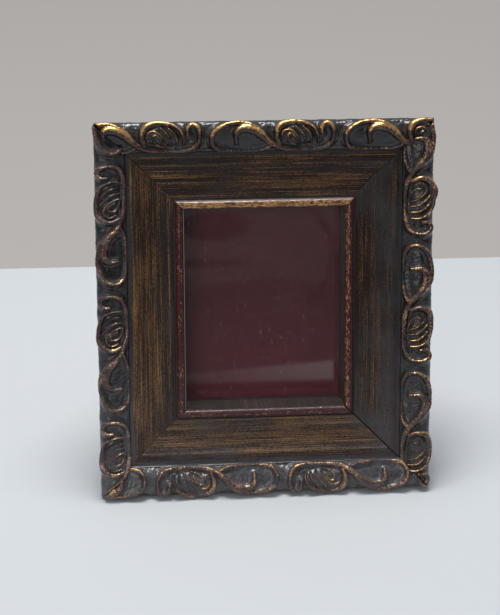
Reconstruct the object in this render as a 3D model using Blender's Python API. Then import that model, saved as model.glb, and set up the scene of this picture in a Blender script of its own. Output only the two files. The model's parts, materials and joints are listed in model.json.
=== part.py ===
"""Coin display frame: a small, deep, mitred frame with applied scroll ornament, a glazed and lined recess,
a back board held by turn buttons, and a hinged easel leg on which the whole frame leans back.

The sizes below are in millimetres, and MM turns them into the scene's metres. +Z is up, the front faces -Y,
and the origin is on the table, in the middle of the flat that is planed on the bottom rail's back edge.
Inside the frame, a place is (x, y, z): x to the right, y up the frame from its outer bottom edge, and z out
of the rails' back plane towards the viewer. In a rail's profile, s runs from its outer edge inwards.
"""

from math import asin, cos, pi, radians, sin, sqrt, tan

import bmesh
import bpy
import numpy as np
from mathutils import Vector

MM = 0.001
GAP = 0.3  # between pieces that touch
SETBACK = 0.15  # of each mitre face from the mitre line
SEGMENTS = 24  # around a turned piece

# Frame
WIDTH = 146.05
HEIGHT = 165.1
FACE = 38.1  # moulding width, outer edge to sight edge
LEAN = radians(14)
BACK_INSET = 4.8  # the moulding's sides are undercut by this much at the back
FLAT_DEPTH = 4.0  # how far the planed flat reaches up the bottom rail's side

# Pieces in the rabbet, stacked from the back board to the glass
RABBET = 3.2  # how far the rabbet reaches under the sight edge
BOARD_RECESS = 0.45
BOARD_THICK = 2.5
PANEL_THICK = 1.2
SPACER_THICK = 1.5
SPACER_WIDTH = 2.8
GLASS_THICK = 2.0
PANEL_BACK = BOARD_RECESS + BOARD_THICK + GAP
SPACER_BACK = PANEL_BACK + PANEL_THICK + GAP
GLASS_BACK = SPACER_BACK + SPACER_THICK + GAP
LIP = GLASS_BACK + GLASS_THICK + GAP  # the rabbet's front wall, which the glass bears on

# Moulding profile: (s, z) of its corners
BAND = (0.6, 12.9)  # the convex seat of the ornament
BAND_EDGE = 24.3
BAND_RISE = 2.0
BAND_STEPS = 6
FILLET = (13.3, 15.2)
FILLET_HEIGHT = 23.9
COVE_START = (15.7, 25.45)
COVE_END = (34.0, 23.3)
COVE_SAG = 2.6
BEAD_START = (34.4, 23.2)
BEAD_END = (FACE, 23.7)
BEAD_RISE = 1.8

# Ornament: one strip of pressed composition on each rail, with units that repeat along the rails
ORNAMENT_EDGES = (0.0, 12.9)
ORNAMENT_EDGE_HEIGHTS = (26.4, 25.0)
ORNAMENT_CROWN = 2.3  # above the line between its two edges
ORNAMENT_ROWS = 9
ORNAMENT_COLUMNS = 72
RELIEF = 2.5
STROKE = 1.9  # half the width of a scroll's rib
UNIT = 57.0  # one repeat of the pattern, as drawn below
REPEATS = {  # where along each rail a unit starts, and how long the units are there
    "bottom": (24.7, 58.2),
    "right": (1.7, 56.7),
    "top": (43.9, 57.2),
    "left": (18.3, 56.0),
}
SCROLL = (
    *((5.2, 5.3), (3.2, 1.5), (0.0, 6.0), (2.8, 10.5), (12.0, 12.0), (22.5, 10.9), (28.5, 7.6)),
    *((34.0, 3.7), (40.2, 3.9), (41.6, 9.0)),
)
LEAF = ((36.5, 1.3), (44.0, 1.3), (50.6, 4.4), (51.2, 9.3), (44.5, 12.2), (34.0, 12.1), (27.0, 10.2))
SHELL = ((6.9, 9.2), (8.6, 3.4), (15.5, 0.8), (22.3, 2.0), (24.4, 6.6), (23.2, 9.0))

# Easel leg, its hinge and its rivets. The hinge pin is behind the board.
OPENING = radians(27)  # between the board and the open leg
HINGE_HEIGHT = 113.0
KNUCKLE_RADIUS = 1.8
PIN_RADIUS = 0.8
PIN_CLEARANCE = 0.08
LEAF_THICK = 0.8
LEAF_WIDTH = 17.0
LEAF_LENGTH = 14.0
CENTRE_KNUCKLE = 6.0  # length of the moving leaf's knuckle
PIN_OFFSET = KNUCKLE_RADIUS + GAP  # from the board's back, and from the leg's front
LEG_THICK = 3.0
LEG_TOP_WIDTH = 24.0
LEG_FOOT_WIDTH = 42.0
RIVET_RADIUS = 0.9
RIVET_HEAD = (2.0, 0.8)  # radius and height
RIVET_TAIL = (1.7, 0.6)
RIVET_SPACING = 9.0
RIVET_FROM_PIN = 10.5

# Turn buttons on the side rails' backs, and their screws
BUTTON_LENGTH = 16.0
BUTTON_WIDTH = 7.0
BUTTON_THICK = 0.9
BUTTON_PIVOT = 30.9  # from the frame's outer edge
BUTTON_SPREAD = 33.0  # up and down from the frame's middle
SCREW_RADIUS = 0.9
SCREW_LENGTH = 8.0  # inside the rail
SCREW_HEAD = (2.3, 1.1)
SCREW_SLOT = (0.6, 0.5)  # width and depth

# Steel angle nails across the mitres, driven in from the back
NAIL_PLACE = 17.0  # from both outer edges
NAIL_LEG = 5.5
NAIL_THICK = 0.6
NAIL_HEIGHT = 7.0

COLOURS = {  # name: (colour, roughness, metallic)
    "gilded_moulding": ((0.20, 0.12, 0.06), 0.45, 0.3),
    "composition": ((0.06, 0.06, 0.07), 0.5, 0.2),
    "clear_glass": ((0.80, 0.84, 0.84), 0.05, 0.0),
    "maroon_velvet": ((0.08, 0.02, 0.03), 0.9, 0.0),
    "stained_wood": ((0.05, 0.03, 0.02), 0.6, 0.0),
    "brown_board": ((0.10, 0.06, 0.04), 0.8, 0.0),
    "brass": ((0.60, 0.42, 0.16), 0.35, 1.0),
    "steel": ((0.45, 0.45, 0.47), 0.35, 1.0),
}


# Scene and object helpers


def clear_scene():
    for obj in list(bpy.data.objects):
        bpy.data.objects.remove(obj)


def make_material(name):
    colour, roughness, metallic = COLOURS[name]
    material = bpy.data.materials.new(name)
    material.use_nodes = True
    shader = material.node_tree.nodes["Principled BSDF"]
    shader.inputs["Base Color"].default_value = (*colour, 1)
    shader.inputs["Roughness"].default_value = roughness
    shader.inputs["Metallic"].default_value = metallic
    return material


def add_empty(name, parent=None, place=(0, 0, 0), turn=0.0):
    """A pivot at a place in its parent, turned about X."""
    empty = bpy.data.objects.new(name, None)
    bpy.context.collection.objects.link(empty)
    empty.parent = parent
    empty.location = Vector(place) * MM
    empty.rotation_euler.x = turn
    return empty


def add_piece(name, shape, material, parent, place=(0, 0, 0)):
    """An object from a bmesh in millimetres, with its origin at a place in its parent."""
    bmesh.ops.recalc_face_normals(shape, faces=shape.faces)
    bmesh.ops.scale(shape, vec=(MM, MM, MM), verts=shape.verts)
    mesh = bpy.data.meshes.new(name)
    shape.to_mesh(mesh)
    shape.free()
    mesh.shade_smooth()
    mesh.set_sharp_from_angle(angle=radians(35))
    obj = bpy.data.objects.new(name, mesh)
    bpy.context.collection.objects.link(obj)
    obj.parent = parent
    obj.location = Vector(place) * MM
    if material:
        mesh.materials.append(bpy.data.materials.get(material) or make_material(material))
    return obj


def add_cutter(name, shape, parent, place=(0, 0, 0)):
    cutter = add_piece(name, shape, None, parent, place)
    cutter.hide_render = True
    cutter.display_type = "WIRE"
    return cutter


def cut(piece, *cutters):
    for cutter in cutters:
        modifier = piece.modifiers.new(cutter.name, "BOOLEAN")
        modifier.operation = "DIFFERENCE"
        modifier.solver = "EXACT"
        modifier.object = cutter


def round_edges(piece, width, segments=2):
    modifier = piece.modifiers.new("rounded_edges", "BEVEL")
    modifier.width = width * MM
    modifier.segments = segments
    modifier.limit_method = "ANGLE"
    modifier.angle_limit = radians(50)


# Shapes, in millimetres


def loft(sections):
    """A closed solid through closed loops of points, with flat ends."""
    shape = bmesh.new()
    loops = [[shape.verts.new(point) for point in section] for section in sections]
    for near, far in zip(loops, loops[1:]):
        for i in range(len(near)):
            j = (i + 1) % len(near)
            shape.faces.new((near[i], near[j], far[j], far[i]))
    shape.faces.new(loops[0])
    shape.faces.new(loops[-1])
    return shape


def box(low, high):
    (x0, y0, z0), (x1, y1, z1) = low, high
    corners = ((x0, y0), (x1, y0), (x1, y1), (x0, y1))
    return loft([[(x, y, z) for x, y in corners] for z in (z0, z1)])


def prism(outline, z0, z1):
    return loft([[(x, y, z) for x, y in outline] for z in (z0, z1)])


def turned(profile, segments=SEGMENTS):
    """A piece turned about Z from (radius, z) points."""
    angles = [2 * pi * i / segments for i in range(segments)]
    return loft([[(r * cos(a), r * sin(a), z) for a in angles] for r, z in profile])


def arc(start, end, rise, steps):
    """Points of a circular arc from start to end, whose middle stands rise above its chord."""
    (x0, y0), (x1, y1) = start, end
    half = sqrt((x1 - x0) ** 2 + (y1 - y0) ** 2) / 2
    radius = (half**2 + rise**2) / (2 * rise)
    along = ((x1 - x0) / (2 * half), (y1 - y0) / (2 * half))
    points = []
    for i in range(steps + 1):
        u = half * (2 * i / steps - 1)
        v = (sqrt(radius**2 - u**2) - (abs(radius) - abs(rise))) * (1 if rise > 0 else -1)
        middle = (x0 + x1) / 2, (y0 + y1) / 2
        points.append((middle[0] + u * along[0] - v * along[1], middle[1] + u * along[1] + v * along[0]))
    return points


def dome(radius, height, base, direction, steps=4):
    """(radius, z) points of a domed head that stands height off base."""
    turns = [pi / 2 * i / steps for i in range(steps)]
    return [(radius * cos(turn), base + direction * height * sin(turn)) for turn in turns]


def stadium(length, width, pivot_end, steps=8):
    """A plate with round ends, along +X from pivot_end behind the origin."""
    radius = width / 2
    points = []
    for centre, first in ((length - pivot_end - radius, -pi / 2), (radius - pivot_end, pi / 2)):
        for i in range(steps + 1):
            turn = first + pi * i / steps
            points.append((centre + radius * cos(turn), radius * sin(turn)))
    return points


# Rails and ornament


class Side:
    """One side of the frame. t runs along it from its start corner, anticlockwise seen from the front."""

    def __init__(self, name, length, corner, quarter):
        self.name, self.length = name, length
        self.corner = Vector(corner)
        self.along = Vector((cos(quarter * pi / 2), sin(quarter * pi / 2)))
        self.inward = Vector((-self.along.y, self.along.x))

    def point(self, t, s, z):
        x, y = self.corner + self.along * t + self.inward * s
        return (x, y, z)

    def ends(self, s):
        """t of the two mitre faces at s from the outer edge."""
        start = s + SETBACK * sqrt(2)
        return start, self.length - start


SIDES = (
    Side("bottom", WIDTH, (-WIDTH / 2, 0), 0),
    Side("right", HEIGHT, (WIDTH / 2, 0), 1),
    Side("top", WIDTH, (WIDTH / 2, HEIGHT), 2),
    Side("left", HEIGHT, (-WIDTH / 2, HEIGHT), 3),
)


def moulding_profile():
    outside = [(BACK_INSET, 0), (BACK_INSET, 6), (1.5, 20), (BAND[0], 23)]
    band = arc((BAND[0], BAND_EDGE), (BAND[1], BAND_EDGE), BAND_RISE, BAND_STEPS)
    fillet = [(s, FILLET_HEIGHT) for s in FILLET]
    cove = arc(COVE_START, COVE_END, -COVE_SAG, 9)
    bead = arc(BEAD_START, BEAD_END, BEAD_RISE, 8)
    rabbet = [(FACE, LIP), (FACE - RABBET, LIP), (FACE - RABBET, 0)]
    return outside + band + fillet + cove + bead + rabbet


def add_rail(side, parent):
    profile = moulding_profile()
    sections = [[side.point(side.ends(s)[end], s, z) for s, z in profile] for end in (0, 1)]
    return add_piece(f"rail_{side.name}", loft(sections), "gilded_moulding", parent)


def smooth_path(points, steps=6):
    """A Catmull-Rom curve through the points."""
    padded = np.array([points[0], *points, points[-1]], float)
    path = []
    for p0, p1, p2, p3 in zip(padded, padded[1:], padded[2:], padded[3:]):
        for i in range(steps):
            f = i / steps
            path.append(
                p1 + f / 2 * (p2 - p0 + f * (2 * p0 - 5 * p1 + 4 * p2 - p3 + f * (3 * (p1 - p2) + p3 - p0)))
            )
    return np.array([*path, padded[-1]])


def distance_to_path(t, s, path):
    starts, ends = path[:-1], path[1:]
    runs = ends - starts
    offset = np.stack([t, s], axis=-1)[..., None, :] - starts
    share = np.clip((offset * runs).sum(-1) / (runs**2).sum(-1), 0, 1)
    return np.linalg.norm(offset - share[..., None] * runs, axis=-1).min(-1)


def relief(t, s, start, length):
    """How far the scrolls stand off the strip's ground."""
    paths = [smooth_path(points) for points in (SCROLL, LEAF, SHELL)]
    phase = (t - start) * UNIT / length % UNIT
    nearest = np.full(t.shape, np.inf)
    for path in paths:
        for shift in (-UNIT, 0, UNIT):
            nearest = np.minimum(nearest, distance_to_path(phase + shift, s, path))
    return RELIEF * np.sqrt(np.clip(1 - (nearest / STROKE) ** 2, 0, 1))


def ornament_ground(s):
    """Height of the strip's ground: a low crown between its two edges."""
    share = (s - ORNAMENT_EDGES[0]) / (ORNAMENT_EDGES[1] - ORNAMENT_EDGES[0])
    edge = ORNAMENT_EDGE_HEIGHTS[0] * (1 - share) + ORNAMENT_EDGE_HEIGHTS[1] * share
    return edge + ORNAMENT_CROWN * 4 * share * (1 - share)


def add_ornament(side, parent):
    rows = np.linspace(*ORNAMENT_EDGES, ORNAMENT_ROWS)
    seat = arc((BAND[0], BAND_EDGE), (BAND[1], BAND_EDGE), BAND_RISE, BAND_STEPS)
    underside = [(s, z + GAP) for s, z in reversed(seat)]
    underside.append((ORNAMENT_EDGES[0], underside[-1][1]))
    columns = np.linspace(0, 1, ORNAMENT_COLUMNS + 1)
    first, last = (np.array([side.ends(s)[end] for s in rows]) for end in (0, 1))
    t = first + columns[:, None] * (last - first)
    s = np.broadcast_to(rows, t.shape)
    inside = (rows > rows[0]) & (rows < rows[-1])
    top = ornament_ground(s) + relief(t, s, *REPEATS[side.name]) * inside
    sections = []
    for column, share in enumerate(columns):
        section = [side.point(*point) for point in zip(t[column], rows, top[column])]
        for place, z in underside:
            start, end = side.ends(place)
            section.append(side.point(start + share * (end - start), place, z))
        sections.append(section)
    return add_piece(f"ornament_{side.name}", loft(sections), "composition", parent)


def nail_outline(side, spread):
    """(x, y) of the nail at a side's start corner, grown by spread: one leg in each of the two rails."""
    near, far = NAIL_PLACE - spread, NAIL_PLACE + NAIL_LEG + spread
    inner = NAIL_PLACE + NAIL_THICK + spread
    places = ((near, near), (far, near), (far, inner), (inner, inner), (inner, far), (near, far))
    return [side.point(t, s, 0)[:2] for t, s in places]


def add_corner_nails(rails, parent):
    """An angle nail across each mitre, in a slot that it shares between two rails."""
    for i, side in enumerate(SIDES):
        name = f"corner_nail_{SIDES[i - 1].name}_{side.name}"
        nail = prism(nail_outline(side, 0), GAP, GAP + NAIL_HEIGHT)
        add_piece(name, nail, "steel", parent)
        slot = prism(nail_outline(side, GAP), -1, NAIL_HEIGHT + 2 * GAP)
        slot = add_cutter(f"{name}_slot", slot, parent)
        cut(rails[i], slot)
        cut(rails[i - 1], slot)


# Pieces in the rabbet


def add_inner_pieces(parent):
    half = WIDTH / 2 - FACE + RABBET - GAP
    low, high = FACE - RABBET + GAP, HEIGHT - FACE + RABBET - GAP

    def slab(name, z, thick, material, margin=0.0):
        corners = ((-half + margin, low + margin, z), (half - margin, high - margin, z + thick))
        return add_piece(name, box(*corners), material, parent)

    round_edges(slab("glass_pane", GLASS_BACK, GLASS_THICK, "clear_glass"), 0.2, 1)
    slab("display_panel", PANEL_BACK, PANEL_THICK, "maroon_velvet", 0.1)
    board = slab("back_board", BOARD_RECESS, BOARD_THICK, "brown_board")
    z0, z1 = SPACER_BACK, SPACER_BACK + SPACER_THICK
    inner = half - SPACER_WIDTH
    for name, y0 in (("bottom", low), ("top", high - SPACER_WIDTH)):
        bar = box((-half, y0, z0), (half, y0 + SPACER_WIDTH, z1))
        add_piece(f"spacer_{name}", bar, "stained_wood", parent)
    for name, x0 in (("left", -half), ("right", inner)):
        ends = (low + SPACER_WIDTH + GAP, high - SPACER_WIDTH - GAP)
        bar = box((x0, ends[0], z0), (x0 + SPACER_WIDTH, ends[1], z1))
        add_piece(f"spacer_{name}", bar, "stained_wood", parent)
    return board


# Easel


def leaf_outline(up):
    """(y, z) of a leaf's section: a plate beside the pin, tangent to the barrel that it is rolled into."""
    inner = KNUCKLE_RADIUS - LEAF_THICK
    last_turn = 2 * pi + asin(inner / KNUCKLE_RADIUS)
    steps = SEGMENTS - 4
    turns = [pi / 2 + (last_turn - pi / 2) * i / steps for i in range(steps + 1)]
    points = [(LEAF_LENGTH, KNUCKLE_RADIUS)]
    points += [(KNUCKLE_RADIUS * cos(turn), KNUCKLE_RADIUS * sin(turn)) for turn in turns]
    points.append((LEAF_LENGTH, inner))
    return [(up * y, up * z) for y, z in points]


def add_leaf(name, parent, place, up, notches, holes):
    """A hinge leaf about a pin. up is 1 for a plate above and in front of the pin, -1 for below and behind."""
    half = LEAF_WIDTH / 2
    shape = loft([[(x, y, z) for y, z in leaf_outline(up)] for x in (-half, half)])
    leaf = add_piece(name, shape, "brass", parent, place)
    reach = KNUCKLE_RADIUS + 1
    near, far = sorted((-up * reach, up * (KNUCKLE_RADIUS + GAP)))
    for i, (x0, x1) in enumerate(notches):
        notch = box((x0, near, -reach), (x1, far, reach))
        cut(leaf, add_cutter(f"{name}_notch_{i}", notch, parent, place))
    bore = pin_shape(PIN_RADIUS + PIN_CLEARANCE, LEAF_WIDTH)
    cut(leaf, add_cutter(f"{name}_bore", bore, parent, place), *holes)


def pin_shape(radius, half_length):
    angles = [2 * pi * i / SEGMENTS for i in range(SEGMENTS)]
    ends = (-half_length, half_length)
    return loft([[(x, radius * cos(a), radius * sin(a)) for a in angles] for x in ends])


def add_rivet(name, parent, place, head_base, tail_base, out):
    """A rivet along Z. out is the side of its domed head: 1 for +Z, -1 for -Z."""
    tail_end = tail_base - out * RIVET_TAIL[1]
    profile = [(RIVET_TAIL[0], tail_end), (RIVET_TAIL[0], tail_base), (RIVET_RADIUS, tail_base)]
    profile += [(RIVET_RADIUS, head_base), *dome(*RIVET_HEAD, head_base, out)]
    return add_piece(name, turned(profile, 16), "brass", parent, place)


def rivet_holes(name, parent, place, low, high, radius):
    shape = turned([(radius, low), (radius, high)], 16)
    return add_cutter(name, shape, parent, place)


def leg_shape(pivot_height):
    """The leg about its hinge pin: it tapers to its top, and its foot is cut to the table."""
    rake = OPENING - LEAN
    front, back = -PIN_OFFSET, -PIN_OFFSET - LEG_THICK
    leaf_back = GAP + LEAF_THICK
    top = (PIN_OFFSET * (1 + cos(OPENING)) - leaf_back - GAP) / sin(OPENING)
    length = top + pivot_height / cos(rake)
    sections = []
    for z in (front, back):
        foot = (z * sin(rake) - pivot_height) / cos(rake)
        outline = []
        for y, sign in ((foot, -1), (foot, 1), (top, 1), (top, -1)):
            width = LEG_TOP_WIDTH + (LEG_FOOT_WIDTH - LEG_TOP_WIDTH) * (top - y) / length
            outline.append((sign * width / 2, y, z))
        sections.append(outline)
    return loft(sections)


def add_easel(frame, board):
    pin_place = (0, HINGE_HEIGHT, BOARD_RECESS - PIN_OFFSET)
    pivot = add_empty("easel_pivot", frame, pin_place, OPENING)
    pivot_height = (frame.location.z / MM) + HINGE_HEIGHT * cos(LEAN) + pin_place[2] * sin(LEAN)
    leg = add_piece("easel_leg", leg_shape(pivot_height), "brown_board", pivot)
    round_edges(leg, 0.4)

    half = LEAF_WIDTH / 2
    centre = CENTRE_KNUCKLE / 2
    board_holes, leg_holes = [], []
    leg_back = -PIN_OFFSET - LEG_THICK
    for side, x in (("left", -RIVET_SPACING / 2), ("right", RIVET_SPACING / 2)):
        place = (x, HINGE_HEIGHT + RIVET_FROM_PIN, 0)
        head_base = BOARD_RECESS - GAP - LEAF_THICK - GAP
        tail_base = BOARD_RECESS + BOARD_THICK - GAP - RIVET_TAIL[1]
        add_rivet(f"board_rivet_{side}", frame, place, head_base, tail_base, -1)
        board_holes.append(rivet_holes(f"board_hole_{side}", frame, place, -5, 5, RIVET_RADIUS + GAP))
        sink = rivet_holes(f"board_sink_{side}", frame, place, tail_base - GAP, 5, RIVET_TAIL[0] + GAP)
        cut(board, sink)

        place = (x, -RIVET_FROM_PIN, 0)
        head_base = -KNUCKLE_RADIUS + LEAF_THICK + GAP
        add_rivet(f"leg_rivet_{side}", pivot, place, head_base, leg_back - GAP, 1)
        leg_holes.append(rivet_holes(f"leg_hole_{side}", pivot, place, -8, 3, RIVET_RADIUS + GAP))
    cut(board, *board_holes)
    cut(leg, *leg_holes)

    add_leaf("hinge_leaf_board", frame, pin_place, 1, ((-centre - GAP, centre + GAP),), board_holes)
    outside = ((-half - 1, -centre), (centre, half + 1))
    add_leaf("hinge_leaf_leg", pivot, (0, 0, 0), -1, outside, leg_holes)
    pin = add_piece("hinge_pin", pin_shape(PIN_RADIUS, half + 0.6), "steel", frame, pin_place)
    round_edges(pin, 0.2, 1)


# Turn buttons


def add_turn_buttons(rails, parent):
    hole_radius = SCREW_RADIUS + GAP
    for rail, side, sign in ((rails[3], "left", 1), (rails[1], "right", -1)):
        for level, y in (("lower", HEIGHT / 2 - BUTTON_SPREAD), ("upper", HEIGHT / 2 + BUTTON_SPREAD)):
            name = f"{level}_{side}"
            place = (-sign * (WIDTH / 2 - BUTTON_PIVOT), y, 0)
            outline = [(sign * u, v) for u, v in stadium(BUTTON_LENGTH, BUTTON_WIDTH, BUTTON_WIDTH / 2)]
            plate = prism(outline, -GAP - BUTTON_THICK, -GAP)
            button = add_piece(f"turn_button_{name}", plate, "brass", parent, place)
            hole = turned([(hole_radius, -3), (hole_radius, SCREW_LENGTH + GAP)], 16)
            hole = add_cutter(f"screw_hole_{name}", hole, parent, place)
            cut(button, hole)
            cut(rail, hole)
            add_screw(f"button_screw_{name}", parent, place)


def add_screw(name, parent, place):
    base = -2 * GAP - BUTTON_THICK
    tip = [(0.15, SCREW_LENGTH), (SCREW_RADIUS, SCREW_LENGTH - 2.5)]
    profile = tip + [(SCREW_RADIUS, base), *dome(*SCREW_HEAD, base, -1)]
    screw = add_piece(name, turned(profile, 16), "brass", parent, place)
    width, depth = SCREW_SLOT
    top = base - SCREW_HEAD[1]
    slot = box((-width / 2, -SCREW_HEAD[0] - 1, top - 1), (width / 2, SCREW_HEAD[0] + 1, top + depth))
    cut(screw, add_cutter(f"{name}_slot", slot, parent, place))


# Assembly


def add_frame():
    """The leaning frame's own axes, set so that the planed flat's middle is at the origin."""
    flat_rise = FLAT_DEPTH * tan(LEAN)
    middle_y = BACK_INSET + flat_rise / 2
    middle_z = FLAT_DEPTH / 2
    place = (
        0,
        middle_z * cos(LEAN) - middle_y * sin(LEAN),
        -middle_z * sin(LEAN) - middle_y * cos(LEAN),
    )
    return add_empty("frame_axes", None, place, pi / 2 - LEAN)


def main():
    clear_scene()
    frame = add_frame()
    rails = [add_rail(side, frame) for side in SIDES]
    for side in SIDES:
        add_ornament(side, frame)
    table = add_cutter("table", box((-WIDTH, -HEIGHT, -20), (WIDTH, HEIGHT, 0)), None)
    for rail, side in zip(rails, SIDES):
        if side.name != "top":
            cut(rail, table)
    add_corner_nails(rails, frame)
    board = add_inner_pieces(frame)
    add_easel(frame, board)
    add_turn_buttons(rails, frame)


main()
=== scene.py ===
"""Looks of the coin display frame: carved and gilded rails, glass, lining, backing, easel and hardware.

Sizes are in millimetres unless a name says otherwise, and MM turns them into metres. Inside the leaning
frame a place is (x, y, z): x to the right, y up the frame from its outer bottom edge, z out of the rails'
back plane. Along a rail, t runs from its start corner, anticlockwise seen from the front, and s runs
inwards from its outer edge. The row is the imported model's own space, in metres.
"""

import json
from functools import reduce
from math import atan2, cos, pi, radians, sin

import bmesh
import bpy
import numpy as np
from mathutils import Matrix, Vector


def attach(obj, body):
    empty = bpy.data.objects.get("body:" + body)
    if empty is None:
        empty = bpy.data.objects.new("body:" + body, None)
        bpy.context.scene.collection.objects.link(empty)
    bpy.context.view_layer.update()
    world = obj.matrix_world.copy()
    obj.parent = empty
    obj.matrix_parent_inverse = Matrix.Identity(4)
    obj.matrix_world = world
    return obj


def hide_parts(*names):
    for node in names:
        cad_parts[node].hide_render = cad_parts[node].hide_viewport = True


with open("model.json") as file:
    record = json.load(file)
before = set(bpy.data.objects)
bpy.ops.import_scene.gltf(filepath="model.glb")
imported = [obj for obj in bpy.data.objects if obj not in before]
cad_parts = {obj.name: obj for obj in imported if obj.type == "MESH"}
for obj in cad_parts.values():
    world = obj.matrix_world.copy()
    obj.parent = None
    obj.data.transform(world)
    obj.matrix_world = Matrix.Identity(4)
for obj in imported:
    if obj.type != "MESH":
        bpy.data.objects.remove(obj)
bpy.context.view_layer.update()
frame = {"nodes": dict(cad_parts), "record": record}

MM = 0.001
NODES = frame["nodes"]
RECORD = frame["record"]
JOINTS = {joint["name"]: joint for joint in RECORD["behaviour"]["joints"]}
BODY_OF = {node: body for body, nodes in RECORD["behaviour"]["bodies"].items() for node in nodes}


# The leaning frame's own axes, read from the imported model


def lean_of_frame():
    axis = JOINTS["button_turn_upper_left"]["axis"]
    return atan2(-axis[2], axis[1])


LEAN = lean_of_frame()
UPRIGHT = Matrix.Rotation(LEAN - pi / 2, 3, "X")  # turns the row's directions into the frame's


def points_of(mesh):
    points = np.empty(len(mesh.vertices) * 3, np.float32)
    mesh.vertices.foreach_get("co", points)
    return points.reshape(-1, 3)


def frame_extent(*names):
    """Lowest and highest corners of the nodes along the leaning frame's axes, in millimetres."""
    points = np.concatenate([points_of(NODES[name].data) for name in names]) @ np.array(UPRIGHT).T / MM
    return points.min(0), points.max(0)


RAILS = ("bottom", "right", "top", "left")
ornament_low, ornament_high = frame_extent(*(f"ornament_{name}" for name in RAILS))
rail_low, _ = frame_extent(*(f"rail_{name}" for name in RAILS))
WIDTH, HEIGHT = (float(ornament_high[i] - ornament_low[i]) for i in (0, 1))
ORIGIN = (0.0, float(ornament_low[1]), float(rail_low[2]))


def to_row(points):
    """Frame places in millimetres to the row's metres."""
    return (np.asarray(points, float) + ORIGIN) @ np.array(UPRIGHT) * MM


# Curves and noise


def arc(start, end, rise, steps):
    """Points of a circular arc from start to end, whose middle stands rise above its chord."""
    start, end = np.array(start, float), np.array(end, float)
    half = np.linalg.norm(end - start) / 2
    radius = (half**2 + rise**2) / (2 * abs(rise))
    along = (end - start) / (2 * half)
    across = np.array([-along[1], along[0]]) * np.sign(rise)
    u = half * np.linspace(-1, 1, steps + 1)[:, None]
    v = np.sqrt(radius**2 - u**2) - (radius - abs(rise))
    return (start + end) / 2 + u * along + v * across


def smooth_path(points, steps):
    """A Catmull-Rom curve through the points."""
    points = np.array(points, float)
    padded = np.vstack([2 * points[0] - points[1], points, 2 * points[-1] - points[-2]])
    f = np.linspace(0, 1, steps, endpoint=False)[:, None]
    path = []
    for p0, p1, p2, p3 in zip(padded, padded[1:], padded[2:], padded[3:]):
        bend = 2 * p0 - 5 * p1 + 4 * p2 - p3 + f * (3 * (p1 - p2) + p3 - p0)
        path.append(p1 + f / 2 * (p2 - p0 + f * bend))
    return np.vstack([*path, points[-1]])


def waves(seed, *coordinates, size=6.0, octaves=4):
    """Smooth, seeded, hand-made looking unevenness from -1 to 1, with features of about the given size."""
    random = np.random.default_rng(seed)
    total, weight = 0.0, 0.0
    for octave in range(octaves):
        share = 0.6**octave
        for _ in range(3):
            direction = random.normal(size=len(coordinates))
            direction *= 2 * pi * 1.9**octave / size / np.linalg.norm(direction)
            phase = random.uniform(0, 2 * pi)
            total = total + share * np.sin(sum(c * d for c, d in zip(coordinates, direction)) + phase)
        weight += share * 1.6
    return total / weight


def ramp(value, width):
    """0 up to zero, rising evenly to 1 at the width."""
    return np.clip(value / width, 0, 1)


# The ornament's relief, worked out once for one unit and laid along the rails

UNIT = 57.0
REPEATS = {  # where a unit starts along the rail, and the length that it takes up there
    "bottom": (24.7, 58.2),
    "right": (1.7, 56.7),
    "top": (43.9, 57.2),
    "left": (18.3, 56.0),
}
WRAPS = (-UNIT, 0.0)  # what sticks out before a unit's start shows at the end of the unit before
TILE_STEP = 0.1
TILE_LOW, TILE_HIGH = -2.5, 15.0  # across the band
RIB_REACH = 4.0  # how far from a rib's middle line its maps are worked out
HIGH_RIB, SWELL_WIDTH, SWELL_HEIGHT = 1.9, 1.5, 0.75  # ribs above the first swell the ground beside them

# Points of a rib are (along the unit, in from the frame's edge).
STEM = (
    (5.2, 5.3), (5.0, 3.0), (3.2, 1.5), (1.4, 2.0), (0.3, 3.8), (0.0, 6.0), (0.7, 8.6), (2.8, 10.5),
    (6.8, 11.6), (12.0, 12.0), (17.5, 11.8), (22.5, 10.9), (26.0, 9.4), (28.5, 7.6),
)
LEAF = (
    (25.5, 9.8), (28.5, 7.8), (31.0, 5.6), (34.0, 3.7), (37.5, 3.1), (40.2, 3.9), (41.7, 5.9),
    (41.6, 9.0),
)
ARCH = (
    (33.5, 2.6), (36.5, 1.3), (40.0, 0.9), (44.0, 1.3), (48.0, 2.6), (50.6, 4.4), (51.7, 6.8),
    (51.2, 9.3), (49.0, 11.2), (44.5, 12.2), (39.0, 12.5), (34.0, 12.1), (30.0, 11.2), (27.0, 10.2),
)
SHELL = (
    (6.9, 9.2), (7.0, 6.3), (8.6, 3.4), (11.5, 1.6), (15.5, 0.8), (19.5, 0.9), (22.3, 2.0),
    (24.0, 4.0), (24.4, 6.6), (23.2, 9.0),
)
RIBS = (
    ((9.4, 9.5), (9.6, 7.0), (11.0, 4.6), (13.4, 2.6)),
    ((11.8, 9.8), (12.3, 7.3), (14.1, 4.7), (16.6, 2.6)),
    ((14.0, 9.7), (15.1, 7.3), (17.1, 4.9), (19.5, 3.8), (21.6, 4.5), (22.3, 6.4), (21.3, 8.4)),
    ((14.6, 10.2), (17.9, 9.2), (19.6, 7.6), (19.5, 5.9), (18.2, 5.4), (16.7, 6.6), (15.6, 8.3)),
)
STROKES = (  # points, half widths from start to end, and height
    (STEM, (1.0, 1.35, 1.35, 1.05, 1.1, 1.15, 1.2, 1.25, 1.4), 2.1),
    (LEAF, (1.0, 1.5, 2.0, 2.3, 2.1, 1.75, 1.3, 0.8), 2.3),
    (ARCH, (0.8, 1.15, 1.25, 1.3, 1.2, 1.1, 0.9, 0.8, 0.7, 0.6), 2.15),
    (SHELL, (0.5, 0.6, 0.8, 1.1, 1.45, 1.7, 1.6, 1.3, 1.0), 2.3),
    *((rib, (0.4, 0.55, 0.4), 1.8) for rib in RIBS),
)
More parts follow.
